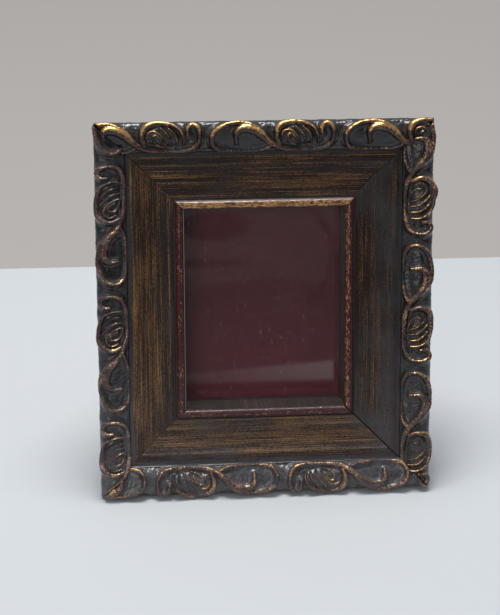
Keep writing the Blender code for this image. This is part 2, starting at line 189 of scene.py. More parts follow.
MOUNDS = (  # closed outlines that swell the ground under the ribs, their height and their shoulder's width
    (SHELL + ((18.0, 10.6), (12.0, 10.6)), 1.05, 2.6),
    (ARCH + ((29.0, 8.5),), 0.2, 1.0),
)
BOSS_SIDE = "right"  # a lump on one rail's edge
BOSS_PLACE, BOSS_REACH, BOSS_RISE = (133.5, 0.4), (3.4, 1.6), 0.9


def segments_of(points, widths, steps=10):
    """Starts, ends, and the half widths at both, of a rib's short straight pieces."""
    path = smooth_path(points, steps)
    share = np.linspace(0, 1, len(path))
    width = np.interp(share, np.linspace(0, 1, len(widths)), widths)
    return path[:-1], path[1:], width[:-1], width[1:]


def inside_outline(p, s, outline):
    inside = np.zeros(p.shape, bool)
    for (x0, y0), (x1, y1) in zip(outline, np.roll(outline, -1, axis=0)):
        if y0 == y1:
            continue
        crosses = (s < y0) != (s < y1)
        inside ^= crosses & (p < x0 + (s - y0) * (x1 - x0) / (y1 - y0))
    return inside


def distance_to_segment(p, s, start, end):
    """Distance to a short segment, and how far along it the nearest point is."""
    run = end - start
    share = np.clip(((p - start[0]) * run[0] + (s - start[1]) * run[1]) / (run @ run + 1e-12), 0, 1)
    return np.hypot(p - start[0] - share * run[0], s - start[1] - share * run[1]), share


def blurred(tile, passes):
    """The tile smoothed a little, wrapping along the unit."""
    for _ in range(passes):
        tile = (np.roll(tile, 1, 0) + 2 * tile + np.roll(tile, -1, 0)) / 4
        tile[:, 1:-1] = (tile[:, :-2] + 2 * tile[:, 1:-1] + tile[:, 2:]) / 4
    return tile


def swollen_ground(p, s):
    """Height of the mounds under the ribs, and 1 wherever a mound lies."""
    mound, inner = np.zeros(p.shape), np.zeros(p.shape)
    for outline, height, shoulder in MOUNDS:
        path = smooth_path(outline + outline[:1], 8)[:-1]
        for shift in WRAPS:
            inside = inside_outline(p + shift, s, path)
            if not inside.any():
                continue
            depth = np.full(p.shape, np.inf)
            for start, end in zip(path, np.roll(path, -1, axis=0)):
                depth = np.minimum(depth, distance_to_segment(p + shift, s, start, end)[0])
            mound = np.maximum(mound, inside * height * ramp(depth, shoulder) ** 0.6)
            inner = np.maximum(inner, inside)
    return mound, inner


def lay_segment(maps, places, segment, rise):
    """Adds a rib's short straight piece to the height, crest and swelling maps."""
    height, crest, swelling = maps
    p, s = places
    start, end, start_width, end_width = segment
    near, far = sorted((start[0], end[0]))
    columns = np.flatnonzero((p[:, 0] > near - RIB_REACH) & (p[:, 0] < far + RIB_REACH))
    if not len(columns):
        return
    part = slice(columns[0], columns[-1] + 1)
    distance, share = distance_to_segment(p[part], s[part], start, end)
    width = start_width + share * (end_width - start_width)
    top = np.clip(1 - (distance / width) ** 2, 0, 1)
    height[part] = np.maximum(height[part], rise * top**0.5)
    crest[part] = np.maximum(crest[part], np.clip(1 - distance / width, 0, 1))
    if rise > HIGH_RIB:
        wide = np.clip(1 - (distance / (width + SWELL_WIDTH)) ** 2, 0, 1)
        swelling[part] = np.maximum(swelling[part], SWELL_HEIGHT * wide)


def make_relief_tile():
    """Height, crest and shade maps of one unit, the last two from 0 off the ribs to 1 at their top lines and
    in the deepest hollows; the last one darkens the hollows with patina and painted shade."""
    along = np.arange(0, UNIT, TILE_STEP)
    across = np.arange(TILE_LOW, TILE_HIGH, TILE_STEP)
    p, s = np.meshgrid(along, across, indexing="ij")
    height, inner = swollen_ground(p, s)
    crest, swelling = np.zeros(p.shape), np.zeros(p.shape)
    for points, widths, rise in STROKES:
        for segment in zip(*segments_of(points, widths)):
            for shift in WRAPS:
                lay_segment((height, crest, swelling), (p + shift, s), segment, rise)
    height = blurred(np.maximum(height, swelling), 2)
    # painted shade over dark patina: inside the mounds, in broad hollows and in narrow creases beside the
    # ribs
    hollow = np.maximum(0.75 * blurred(inner, 12), ramp(blurred(height, 120) - height, 0.7))
    hollow = np.maximum(hollow, ramp(blurred(height, 14) - height, 0.22))
    return height, blurred(crest, 1), hollow


HEIGHT_TILE, CREST_TILE, PATINA_AND_SHADE_TILE = make_relief_tile()


def look_up(tile, p, s):
    """The tile at places along and across the band, blended between samples, repeating along it."""
    u = (p % UNIT) / TILE_STEP
    v = np.clip((s - TILE_LOW) / TILE_STEP, 0, tile.shape[1] - 1.001)
    i, j = np.floor(u).astype(int), np.floor(v).astype(int)
    fu, fv = u - i, v - j
    i, i2 = i % tile.shape[0], (i + 1) % tile.shape[0]
    near = tile[i, j] * (1 - fv) + tile[i, j + 1] * fv
    far = tile[i2, j] * (1 - fv) + tile[i2, j + 1] * fv
    return near * (1 - fu) + far * fu


# Pieces made from sections


def mesh_from_loops(name, loops):
    """A closed mesh through closed loops of points, shaped (sections, points, 3), in the row's metres."""
    sections, count = loops.shape[:2]
    index = np.arange(sections * count).reshape(sections, count)
    ahead = np.roll(index, -1, axis=1)
    quads = np.stack([index[:-1], ahead[:-1], ahead[1:], index[1:]], axis=-1).reshape(-1, 4)
    faces = quads.tolist() + [index[0][::-1].tolist(), index[-1].tolist()]
    mesh = bpy.data.meshes.new(name)
    mesh.from_pydata(loops.reshape(-1, 3).tolist(), [], faces)
    mesh.validate()
    return mesh


def turned_outwards(mesh):
    """Makes every face of a closed mesh point out."""
    shape = bmesh.new()
    shape.from_mesh(mesh)
    bmesh.ops.recalc_face_normals(shape, faces=shape.faces)
    if shape.calc_volume(signed=True) < 0:
        bmesh.ops.reverse_faces(shape, faces=shape.faces)
    shape.to_mesh(mesh)
    shape.free()


def linked(name, data):
    """A new object in the scene."""
    made = bpy.data.objects.new(name, data)
    bpy.context.collection.objects.link(made)
    return made


def add_object(mesh, node, materials, sharp=35):
    """The visual piece that stands in for a node, riding on the same body."""
    turned_outwards(mesh)
    for material in materials:
        mesh.materials.append(material)
    mesh.shade_smooth()
    mesh.set_sharp_from_angle(angle=radians(sharp))
    piece = linked(mesh.name, mesh)
    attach(piece, BODY_OF[node])
    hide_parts(node)


def add_attribute(mesh, name, values):
    values = np.asarray(values, np.float32)
    kind = "FLOAT_VECTOR" if values.ndim == 2 else "FLOAT"
    attribute = mesh.attributes.new(name, kind, "POINT")
    attribute.data.foreach_set("vector" if values.ndim == 2 else "value", values.ravel())


class Side:
    """One side of the frame, with its start corner and its directions."""

    def __init__(self, index):
        self.index = index
        self.name = RAILS[index]
        self.length = WIDTH if index % 2 == 0 else HEIGHT
        corners = ((-WIDTH / 2, 0), (WIDTH / 2, 0), (WIDTH / 2, HEIGHT), (-WIDTH / 2, HEIGHT))
        self.corner = np.array(corners[index])
        self.along = np.array((round(cos(index * pi / 2)), round(sin(index * pi / 2))))
        self.inward = np.array((-self.along[1], self.along[0]))

    def places(self, t, s, z):
        """Frame places of points along and across the rail."""
        flat = self.corner + t[..., None] * self.along + s[..., None] * self.inward
        return np.concatenate([flat, np.broadcast_to(z, t.shape)[..., None]], axis=-1)


SIDES = [Side(index) for index in range(4)]
MITRE_GAPS = {"bottom": (0.07, 0.30), "right": (0.30, 0.06), "top": (0.06, 0.06), "left": (0.06, 0.07)}
MITRE_STEPS, MITRE_REACH = (0.0, 0.12, 0.3, 0.6), 0.8  # the close sections, and where the even ones begin


def stations(side, s, spacing):
    """t of the sections at every s, from mitre to mitre, closer together near the mitres."""
    share = np.linspace(0, 1, int(side.length / spacing) + 1)
    ends = np.array(MITRE_STEPS) / side.length
    reach = MITRE_REACH / side.length
    share = np.concatenate([ends, share[(share > reach) & (share < 1 - reach)], 1 - ends[::-1]])
    open_share = 0.3 + 0.7 * ramp(s - 11, 6)  # the joints stay tighter under the ornament
    start_gap, end_gap = (gap * open_share for gap in MITRE_GAPS[side.name])
    start = s + start_gap * 2**0.5
    end = side.length - s - end_gap * 2**0.5
    return start + share[:, None] * (end - start)


def up_facing(side, t, s, z):
    """How far the surface through a grid of places faces up, from -1 to 1."""
    places = side.places(t, s, z)
    normal = np.cross(np.gradient(places, axis=0), np.gradient(places, axis=1))
    normal /= np.linalg.norm(normal, axis=-1)[..., None] + 1e-9
    normal *= np.sign(np.median(normal[..., 2]))
    return normal @ np.array((0, cos(LEAN), sin(LEAN)))


def mitre_wear(side, t, s):
    """How far each point is rounded down near the mitres."""
    to_end = np.minimum(t - s, side.length - s - t) / 2**0.5
    return 0.22 * np.exp(-np.clip(to_end, 0, None) / 0.22)


# Dust and painted light, rail by rail: a painted sheen on what faces up, and painted bounce light from the
# cloth low down
DUST_AND_SHEEN_FACING_UP = {"bottom": 1.0, "right": 0.6, "top": 0.12, "left": 0.6}
DUST_AND_BOUNCE_LOW_DOWN = {"bottom": 0.7, "right": 0.5, "top": 0.7, "left": 1.0}
DUST_AND_BOUNCE_HEIGHT = 70


def dust_and_painted_light(side, t, s, z):
    """Dust and painted light: dust and a painted sheen on what faces up, and dust and painted bounce light
    from the cloth thinly over everything low down.
    """
    low = np.clip(1 - side.places(t, s, z)[..., 1] / DUST_AND_BOUNCE_HEIGHT, 0, 1)
    facing = ramp(up_facing(side, t, s, z) - 0.3, 0.5)
    return np.maximum(DUST_AND_SHEEN_FACING_UP[side.name] * facing, DUST_AND_BOUNCE_LOW_DOWN[side.name] * low)


def add_places(mesh, side, t, s):
    """Places along and across the rail, for the brushed and grained looks, set apart from rail to rail."""
    apart = np.full(t.size, side.index * 50.0)
    add_attribute(mesh, "grain", np.stack([t.ravel(), s.ravel(), apart], axis=-1))


# Moulding

BACK_INSET = 4.8
FACE = 38.1
RABBET = 3.2
GLASS_FRONT = float(frame_extent("glass_pane")[1][2] - ORIGIN[2])
LIP = GLASS_FRONT + 0.3
RAIL_SPACING, ORNAMENT_SPACING, QUICK_SPACING = 0.8, 0.2, 0.45  # between the sections of a piece
OUTSIDE, GROOVE, COVE, BEAD, WALL, WOOD = range(6)  # zones of the section, each with its own material


def seat():
    """The rounded bed that the ornament is glued to."""
    return arc((0.6, 24.3), (12.9, 24.3), 2.0, 6)


def moulding_profile():
    """(s, z) and zones round a rail's section, from the back's outer corner over the front to the rabbet."""
    outside = ((BACK_INSET, 0.25), (4.8, 6.0), (3.2, 14.0), (1.5, 20.0), (0.75, 23.0), (0.6, 24.3))
    valley = ((12.9, 24.3), (13.7, 24.05), (14.7, 24.15), (15.8, 24.35), (17.0, 24.45), (18.2, 24.4))
    wall = ((FACE, 23.75), (FACE, 22.6), (FACE, 15.0), (FACE, LIP + 0.15), (FACE - 0.1, LIP))
    rabbet = ((FACE - RABBET, LIP), (FACE - RABBET, 0.2), (FACE - RABBET - 0.2, 0.0))
    parts = (
        (smooth_path(outside, 6), OUTSIDE),
        (seat(), OUTSIDE),
        (smooth_path(valley, 5), COVE),
        (arc((18.2, 24.4), (33.6, 23.2), -1.85, 56), COVE),
        (smooth_path(((33.6, 23.2), (33.95, 22.95), (34.3, 23.1)), 4), GROOVE),
        (arc((34.3, 23.1), (FACE, 23.75), 1.75, 22), BEAD),
        (smooth_path(wall, 6), WALL),
        (np.array(rabbet), WOOD),
        (np.array(((20.0, 0.0), (BACK_INSET + 0.25, 0.0))), WOOD),
    )
    points, zones = [], []
    for path, zone in parts:
        fresh = path[1:] if points and np.allclose(points[-1], path[0]) else path
        points.extend(fresh.tolist())
        zones.extend([zone] * len(fresh))
    return np.array(points), np.array(zones)


STREAKS = {  # how far the streaks show at the cove's outer edge, middle and inner edge
    "bottom": (-0.04, 0.13, 0.13),
    "right": (-0.10, -0.06, 0.02),
    "top": (0.04, 0.01, 0.0),
    "left": (0.0, -0.01, 0.0),
}
BARE = {"bottom": 0.22, "right": 0.75, "top": 0.12, "left": 0.02}
BEAD_GILDING = {  # on the bead's outer and inner halves, and how patchy
    "bottom": (0.0, -0.1, 0.14),
    "right": (-0.3, 0.2, 0.4),
    "top": (0.5, 0.56, 0.14),
    "left": (-0.1, -0.05, 0.14),
}
BEAD_HIGHLIGHT_EDGE = {"bottom": 0.0, "right": 0.0, "top": -1.0, "left": 1.0}  # the edge with the painted highlight line: 1 inner, -1 outer


def moulding_gilding(side, t, s, zones):
    """How much of the streaks shows along the cove, and of the leaf along the bead."""
    drift = waves(side.index + 70, t, s, size=60, octaves=2)
    cove = np.interp(s, (17, 25, 33), STREAKS[side.name]) + 0.035 * drift
    outer, inner, patchy = BEAD_GILDING[side.name]
    patches = waves(side.index + 80, t, size=22, octaves=3)
    bead = outer + (inner - outer) * ramp(s - 35.3, 1.0) + patchy * patches
    if side.name in ("top", "left"):
        bead = bead - 0.6 * ramp(s - 37.4, 0.5)
    return np.where(zones == COVE, cove, bead)


def bare_cove(side, t, s):
    """Where the cove's streaks have worn off or were never laid, down to the charcoal."""
    worn = BARE[side.name] + 0.45 * waves(side.index + 90, t, s * 1.5, size=70, octaves=3)
    if side.name == "right":
        worn = worn - 0.5 * np.exp(-(((t / side.length - 0.55) / 0.14) ** 2))
    return np.clip(worn, 0, 1)


def add_rail(side, materials):
    profile, zones = moulding_profile()
    s = profile[:, 0]
    t = stations(side, s, RAIL_SPACING)
    uneven = 0.05 * waves(side.index + 10, t, s * 1.5, size=25) + 0.03 * waves(side.index + 20, t, s, size=4)
    front = (zones >= GROOVE) & (zones <= BEAD)
    z = profile[:, 1] + front * (uneven - mitre_wear(side, t, s))
    s = np.broadcast_to(s, t.shape) + (zones == WALL) * 0.04 * waves(side.index + 30, t, z, size=9)
    loops = to_row(side.places(t, s, z))
    loops[..., 2] = np.maximum(loops[..., 2], 0)  # the flat planed on the edge that the frame stands on
    mesh = mesh_from_loops(f"moulding_{side.name}", loops)
    add_places(mesh, side, t, s)
    add_attribute(mesh, "gild", moulding_gilding(side, t, s, zones).ravel())
    add_attribute(mesh, "bare", bare_cove(side, t, s).ravel())
    # dust and painted light: a painted sheen on what faces up, painted bounce light low down
    add_attribute(mesh, "dust", dust_and_painted_light(side, t, s, z).ravel())
    # rim picks the bead edge that gets the painted highlight line
    add_attribute(mesh, "rim", np.full(t.size, BEAD_HIGHLIGHT_EDGE[side.name]))
    face_zones = np.concatenate([np.tile(np.roll(zones, -1), len(t) - 1), [WOOD, WOOD]]).astype(np.int32)
    mesh.polygons.foreach_set("material_index", face_zones)
    add_object(mesh, f"rail_{side.name}", materials)


# Ornament

GILDING_AND_HIGHLIGHT = {  # gold on the rubbed ribs: anywhere, and where they face up, which is partly a painted highlight of the lamp above
    "bottom": (0.12, 0.55),
    "right": (0.10, 0.75),
    "top": (0.02, 3.2),
    "left": (0.0, 0.5),
}
SHADE = {"bottom": 0.7, "right": 0.8, "top": 1.0, "left": 0.9}  # how dark the hollows are on each rail, from patina and painted shade
GROUND = (  # (s, z) of the strip's ground, from its inner foot over the crown and round the outer edge
    (13.9, 23.8), (13.2, 24.25), (12.2, 25.0), (10.4, 26.4), (7.8, 27.7), (5.0, 28.2), (2.6, 27.9),
    (1.0, 26.9), (0.25, 25.6), (0.35, 24.7),
)


def resampled(path, spacing):
    lengths = np.concatenate([[0], np.cumsum(np.linalg.norm(np.diff(path, axis=0), axis=1))])
    places = np.linspace(0, lengths[-1], int(lengths[-1] / spacing) + 1)
    return np.stack([np.interp(places, lengths, path[:, i]) for i in range(2)], axis=-1)


def normals_of(ground):
    """The directions out of the ground's curve."""
    along = np.gradient(ground, axis=0)
    normal = np.stack([along[:, 1], -along[:, 0]], axis=-1)
    normal /= -np.linalg.norm(normal, axis=1)[:, None]
    return normal * np.sign(normal[len(normal) // 3, 1])


def boss(t, band):
    reach = ((t - BOSS_PLACE[0]) / BOSS_REACH[0]) ** 2 + ((band - BOSS_PLACE[1]) / BOSS_REACH[1]) ** 2
    return BOSS_RISE * np.clip(1 - reach, 0, 1) ** 0.6


def carve(side, t, ground, band):
    """How far the ornament stands off its ground, how rubbed its ribs are and how dark its hollows are from
    patina and painted shade.
    """
    index = side.index
    start, pitch = REPEATS[side.name]
    p = (t - start) * UNIT / pitch + 0.22 * waves(index + 1, t, band, size=14)
    q = band + 0.18 * waves(index + 5, t, band, size=17)
    foot = ramp(13.6 - ground[:, 0], 1.4) * ramp(ground[:, 1] - 24.2, 1.2) ** 0.5
    lumps = 0.07 * waves(index + 40, t, band, size=3.2) + 0.14 * waves(index + 50, t, band, size=11)
    swell = 1.12 + 0.1 * waves(index + 60, t, band, size=19)
    lift = foot * (look_up(HEIGHT_TILE, p, q) * swell + lumps)
    lift = lift - mitre_wear(side, t, ground[:, 0]) * foot
    if side.name == BOSS_SIDE:
        lift = lift + boss(t, band)
    rubbed = ramp(look_up(CREST_TILE, p, q) - 0.06, 0.3) * foot
    hollow = look_up(PATINA_AND_SHADE_TILE, p, q)
    return lift, rubbed, np.maximum(SHADE[side.name] * hollow, np.clip(2 * hollow - 1.1, 0, 1))


def gilding_and_highlight(side, band, rubbed, facing):
    anywhere, highlight_upwards = GILDING_AND_HIGHLIGHT[side.name]
    gild = rubbed * (anywhere + highlight_upwards * np.clip(facing - 0.18, 0, 0.5))
    # the top rail's inner half, which faces down, gets less gold: painted shade
    if side.name == "top":
        gild = gild * (1 - 0.85 * ramp(band - 8.2, 2.0))
    return gild


def add_ornament(side, materials, spacing):
    ground = resampled(smooth_path(GROUND, 12), spacing)
    normal = normals_of(ground)
    t = stations(side, ground[:, 0], spacing)
    rise = ground[:, 1].max() - ground[:, 1]
    outer = np.arange(len(ground)) > ground[:, 1].argmax()
    band = np.broadcast_to(ground[:, 0] - outer * rise * 0.75, t.shape)  # goes on over the outer edge
    lift, rubbed, hollow = carve(side, t, ground, band)
    s, z = (ground[:, i] + lift * normal[:, i] for i in (0, 1))
    gild = gilding_and_highlight(side, band, rubbed, up_facing(side, t, s, z))
    # gild is gold leaf with a painted highlight, dust is dust and painted light, and the hollows' look is
    # patina and painted shade
    looks = {"rubbed": rubbed, "gild": gild, "hollow": hollow, "dust": dust_and_painted_light(side, t, s, z)}
    under = seat() + (0, 0.3)
    under_t = stations(side, under[:, 0], spacing)
    t = np.concatenate([t, under_t], axis=1)
    s = np.concatenate([s, np.broadcast_to(under[:, 0], under_t.shape)], axis=1)
    z = np.concatenate([z, np.broadcast_to(under[:, 1], under_t.shape)], axis=1)
    mesh = mesh_from_loops(f"scrollwork_{side.name}", to_row(side.places(t, s, z)))
    for name, values in looks.items():
        add_attribute(mesh, name, np.concatenate([values, np.zeros(under_t.shape)], axis=1).ravel())
    add_places(mesh, side, t, s)
    add_object(mesh, f"ornament_{side.name}", materials, 180)


# Materials


def put(socket, value):
    """Gives a node's input a number or a colour, or another node's output."""
    if isinstance(value, bpy.types.NodeSocket):
        socket.id_data.links.new(value, socket)
    elif isinstance(value, (tuple, list)) and len(value) == 3 and socket.type == "RGBA":
        socket.default_value = (*value, 1)
    else:
        socket.default_value = value


def add_node(tree, kind, inputs, **settings):
    made = tree.nodes.new(kind)
    for key, value in settings.items():
        setattr(made, key, value)
    for key, value in inputs.items():
        put(made.inputs[key], value)
    return made


def new_node(kind, inputs, **settings):
    """A node in the same tree as the first of its inputs that comes from another node."""
    tree = next(value.id_data for value in inputs.values() if isinstance(value, bpy.types.NodeSocket))
    return add_node(tree, kind, inputs, **settings)


def arithmetic(operation, a, b=0.0, clamp=False):
    return new_node("ShaderNodeMath", {0: a, 1: b}, operation=operation, use_clamp=clamp).outputs[0]


def times(a, b, clamp=False):
    return arithmetic("MULTIPLY", a, b, clamp)


def plus(a, b):
    return arithmetic("ADD", a, b)


def minus(a, b):
    return arithmetic("SUBTRACT", a, b)


def centred(value):
    return minus(value, 0.5)


def weighted(*terms):
    """The sum of values, each times its weight."""
    return reduce(plus, [times(value, weight) for value, weight in terms])


def split(vector):
    return new_node("ShaderNodeSeparateXYZ", {0: vector}).outputs


def vectors(operation, *inputs, output=0):
    return new_node("ShaderNodeVectorMath", dict(enumerate(inputs)), operation=operation).outputs[output]


def away_from(vector, centre, scale):
    """How far a vector is from a centre, with each axis scaled."""
    away = vectors("MULTIPLY", vectors("SUBTRACT", vector, centre), scale)
    return vectors("LENGTH", away, output="Value")


def noise(vector, scale, detail=4.0, roughness=0.55, distortion=0.0):
    inputs = {"Vector": vector, "Scale": scale, "Detail": detail, "Roughness": roughness}
    return new_node("ShaderNodeTexNoise", {**inputs, "Distortion": distortion}).outputs["Fac"]


def drawn(vector, scale, *settings):
    """Noise drawn out along the axes that have a low scale."""
    return noise(vectors("MULTIPLY", vector, scale), 1.0, *settings)


def cells(vector, scale):
    """Distance to the nearest of a flat scatter of points, in cells."""
    inputs = {"Vector": vector, "Scale": scale}
    return new_node("ShaderNodeTexVoronoi", inputs, voronoi_dimensions="2D").outputs["Distance"]


def step(value, low, high, out_low=0.0, out_high=1.0):
    """A smooth step of the value from low to high."""
    inputs = {"Value": value, "From Min": low, "From Max": high, "To Min": out_low, "To Max": out_high}
    return new_node("ShaderNodeMapRange", inputs, interpolation_type="SMOOTHSTEP").outputs[0]


def mix(share, a, b):
    return new_node("ShaderNodeMix", {0: share, 6: a, 7: b}, data_type="RGBA").outputs[2]


def coats(colour, *layers):
    """A colour with others laid over it in turn, each (share, colour)."""
    for share, layer in layers:
        colour = mix(share, colour, layer)
    return colour


def colour_ramp(value, *stops):
    made = new_node("ShaderNodeValToRGB", {"Fac": value})
    elements = made.color_ramp.elements
    while len(elements) < len(stops):
        elements.new(0.5)
    for element, (place, colour) in zip(elements, stops):
        element.position = place
        element.color = (*colour, 1)
    return made.outputs["Color"]


def bump(height, distance):
    return new_node("ShaderNodeBump", {"Height": height, "Distance": distance * MM}).outputs["Normal"]


class Shader:
    """A material with one Principled surface."""

    def __init__(self, name):
        self.material = bpy.data.materials.new(name)
        self.material.use_nodes = True
        self.tree = self.material.node_tree
        self.principled = self.tree.nodes["Principled BSDF"]

    def node(self, kind, inputs=None, **settings):
        return add_node(self.tree, kind, inputs or {}, **settings)

    def place(self):
        return self.node("ShaderNodeTexCoord").outputs["Object"]

    def attribute(self, name, output="Fac"):
        return self.node("ShaderNodeAttribute", attribute_name=name).outputs[output]

    def surface(self, **values):
        for key, value in values.items():
            put(self.principled.inputs[key.replace("_", " ")], value)


CHARCOAL = (0.012, 0.0095, 0.0090)
CHARCOAL_PALE = (0.092, 0.086, 0.088)
# near black for patina and painted shade in the hollows, and for the painted shadow beside the bead's
# highlight line
PATINA_AND_SHADE_BLACK = (0.006, 0.0045, 0.0045)
# pale grey for dust, scuffs and specks, and for painted sheen and bounce light
DUST_AND_SHEEN = (0.135, 0.130, 0.135)
BOLE = (0.055, 0.012, 0.014)
BOLE_BROWN = (0.034, 0.016, 0.011)
GOLD = (0.54, 0.30, 0.10)
BEAD_GOLD = (0.52, 0.29, 0.10)
# pale pink for the painted highlight lines along the ribs' crests
HIGHLIGHT_PINK = (0.36, 0.24, 0.20)


def scroll_patina():
    """Charcoal patina over red bole and gold leaf, rubbed through on the ribs' tops; the gold is partly a
    painted highlight where the ribs face up. Painted shade darkens the hollows, painted highlight lines run
    along the crests, and a pale grey stands for dust and painted sheen.
    """
    shader = Shader("scroll_patina")
    place, rubbed, dust = shader.place(), shader.attribute("rubbed"), shader.attribute("dust")
    speckle = centred(noise(place, 1100, 5, 0.65))
    patches = centred(noise(place, 160, 3, 0.5))
    uneven = weighted((speckle, 3.0), (patches, 1.3))
    # gild holds gold leaf and, on ribs that face up, a painted highlight
    gold = times(step(plus(shader.attribute("gild"), uneven), 0.38, 0.60), step(rubbed, 0.1, 0.5))
    bole = step(plus(rubbed, uneven), 0.45, 1.05)
    # the dust attribute carries dust and painted light: a sheen on what faces up, bounce light low down
    dusty = plus(times(dust, 0.8), 0.2)
    pale = times(step(noise(place, 320, 4), 0.42, 0.70), dusty)
    # painted shade in the hollows, over dark patina
    hollow = times(shader.attribute("hollow"), 0.92)
    settled_and_sheen = times(dust, step(speckle, -0.25, 0.15, 0.25, 0.7))
    ground = coats(CHARCOAL, (pale, CHARCOAL_PALE), (hollow, PATINA_AND_SHADE_BLACK), (settled_and_sheen, DUST_AND_SHEEN))
    brown = mix(step(noise(place, 240, 3), 0.40, 0.60), BOLE_BROWN, BOLE)
    clay = mix(times(settled_and_sheen, 0.35), brown, DUST_AND_SHEEN)
    # a painted highlight line along the ribs' crests, stronger where dust and painted sheen lie
    edge = step(plus(rubbed, times(uneven, 0.35)), 0.85, 1.15, 0.0, 0.9)
    crest_highlight = times(times(edge, step(patches, -0.06, 0.10, 0.1, 1.0)), dusty)
    shader.surface(
        Base_Color=coats(ground, (bole, clay), (crest_highlight, HIGHLIGHT_PINK), (gold, GOLD)),
        Metallic=times(gold, 0.95),
        Roughness=step(speckle, -0.2, 0.2, 0.24, 0.40),
        Normal=bump(noise(place, 1300, 6, 0.65), 0.07),
        Coat_Weight=0.5,
        Coat_Roughness=0.09,
        Specular_IOR_Level=0.3,
    )
    return shader.material


VALLEY_GREYS = (0.020, 0.018, 0.019), (0.052, 0.048, 0.050)


def charcoal(name="charcoal"):
    """Charcoal paint brushed along the rail, thin in places over umber."""
    shader = Shader(name)
    place = shader.place()
    brushed = drawn(shader.attribute("grain", "Vector"), (0.05, 0.6, 1.0), 5, 0.65, 0.3)
    along_sides = drawn(place, (90, 420, 90), 5, 0.65, 0.3)
    scuffs = drawn(place, (220, 900, 220), 4, 0.8)
    colour = coats(
        mix(noise(place, 300, 4), *VALLEY_GREYS),
        (step(brushed, 0.42, 0.62, 0.0, 0.7), CHARCOAL),
        (step(along_sides, 0.56, 0.68, 0.0, 0.55), BOLE_BROWN),
        (step(scuffs, 0.66, 0.74, 0.0, 0.5), DUST_AND_SHEEN),
    )
    rough = bump(plus(brushed, noise(place, 900, 5)), 0.09)
    shader.surface(Base_Color=colour, Roughness=0.46, Normal=rough, Specular_IOR_Level=0.3)
    return shader.material


COVE_START = (14.6, 15.6)  # where the paint begins beside the valley
COVE_PAINTS = (  # from dark umber to gold
    (0.36, (0.010, 0.005, 0.004)),
    (0.52, (0.028, 0.012, 0.007)),
    (0.64, (0.075, 0.034, 0.014)),
    (0.78, (0.27, 0.15, 0.062)),
)
CHIP = (0.007, 0.005, 0.0045)


def streaked_cove():
    """Brushed streaks of bronze and gold paint over dark umber, and charcoal in the valley."""
    shader = Shader("streaked_cove")
    rail, dust = shader.attribute("grain", "Vector"), shader.attribute("dust")
    lines = centred(drawn(rail, (0.022, 3.3, 1.0), 2, 0.6))
    dashes = centred(drawn(rail, (0.10, 5.5, 1.0), 3, 0.7))
    patches = centred(drawn(rail, (0.035, 0.11, 1.0), 3, 0.6))
    scratches = centred(drawn(rail, (0.9, 3.5, 1.0), 3, 0.75))
    bands = centred(drawn(rail, (0.003, 0.42, 1.0), 1, 0.5))
    streak = weighted((lines, 1.3), (dashes, 0.9), (scratches, 1.1), (bands, 0.7), (patches, 0.45))
    streak = plus(streak, shader.attribute("gild"))
    bare = plus(shader.attribute("bare"), times(dashes, 2.2))
    edge = plus(split(rail)[1], times(patches, 2.0))
    painted = times(step(edge, *COVE_START), step(bare, 0.25, 0.75, 1.0, 0.22))
    colour = coats(
        mix(noise(shader.place(), 300, 4), *VALLEY_GREYS),
        # the dust attribute lays a pale veil of dust and painted light
        (times(dust, 0.75), DUST_AND_SHEEN),
        (painted, colour_ramp(plus(streak, 0.5), *COVE_PAINTS)),
        (times(dust, step(scratches, -0.2, 0.25, 0.10, 0.42)), DUST_AND_SHEEN),
        (step(drawn(rail, (0.42, 0.9, 1.0), 4, 0.8), 0.57, 0.63, 0.0, 0.75), CHIP),
        (times(step(cells(rail, 0.24), 0.035, 0.06, 1.0, 0.0), 0.5), DUST_AND_SHEEN),
    )
    metallic = times(step(streak, 0.12, 0.28, 0.0, 0.35), painted)
    brushed = bump(plus(lines, dashes), 0.07)
    shader.surface(Base_Color=colour, Metallic=metallic, Roughness=0.42, Normal=brushed)
    shader.surface(Specular_IOR_Level=0.22)
    return shader.material


BEAD_RED = (0.050, 0.0080, 0.0105)
# pale for the painted highlight lines on the bead
BEAD_HIGHLIGHT = (0.36, 0.31, 0.30)
INNER_HIGHLIGHT, INNER_SHADOW = (37.72, 37.8), (37.1, 37.25)  # where the painted highlight and painted shadow lines begin
OUTER_HIGHLIGHT = (34.9, 35.3, -0.75, 0.0)  # where the outer painted highlight line ends


def gilt_bead():
    """Worn gold leaf over red, with a painted highlight line on the edge that the rim attribute picks, and a
    painted shadow just beside the inner one.
    """
    shader = Shader("gilt_bead")
    rail, rim = shader.attribute("grain", "Vector"), shader.attribute("rim")
    worn = times(centred(drawn(rail, (0.5, 2.6, 1.0), 3, 0.6)), 4.4)
    gold = step(plus(shader.attribute("gild"), worn), 0.42, 0.60)
    inward = split(rail)[1]
    # the dust attribute adds dust and painted light
    colour = coats(BEAD_RED, (gold, BEAD_GOLD), (times(shader.attribute("dust"), 0.22), DUST_AND_SHEEN))
    # painted shadow and painted highlight lines on the edge that rim picks
    for place, tint in ((INNER_SHADOW, PATINA_AND_SHADE_BLACK), (INNER_HIGHLIGHT, BEAD_HIGHLIGHT), (OUTER_HIGHLIGHT, BEAD_HIGHLIGHT)):
        colour = mix(times(step(inward, *place), rim, clamp=True), colour, tint)
    shader.surface(
        Base_Color=colour,
        Metallic=times(gold, 0.95),
        Coat_Weight=step(gold, 0.2, 0.8, 0.4, 1.0),
        Roughness=step(worn, -0.3, 0.3, 0.40, 0.56),
        Normal=bump(noise(shader.place(), 1300, 5), 0.06),
        Coat_Roughness=0.06,
        Specular_IOR_Level=0.15,
    )
    return shader.material


SIGHT_PAINTS = ((0.35, (0.014, 0.009, 0.008)), (0.52, (0.036, 0.026, 0.022)), (0.70, (0.11, 0.085, 0.072)))


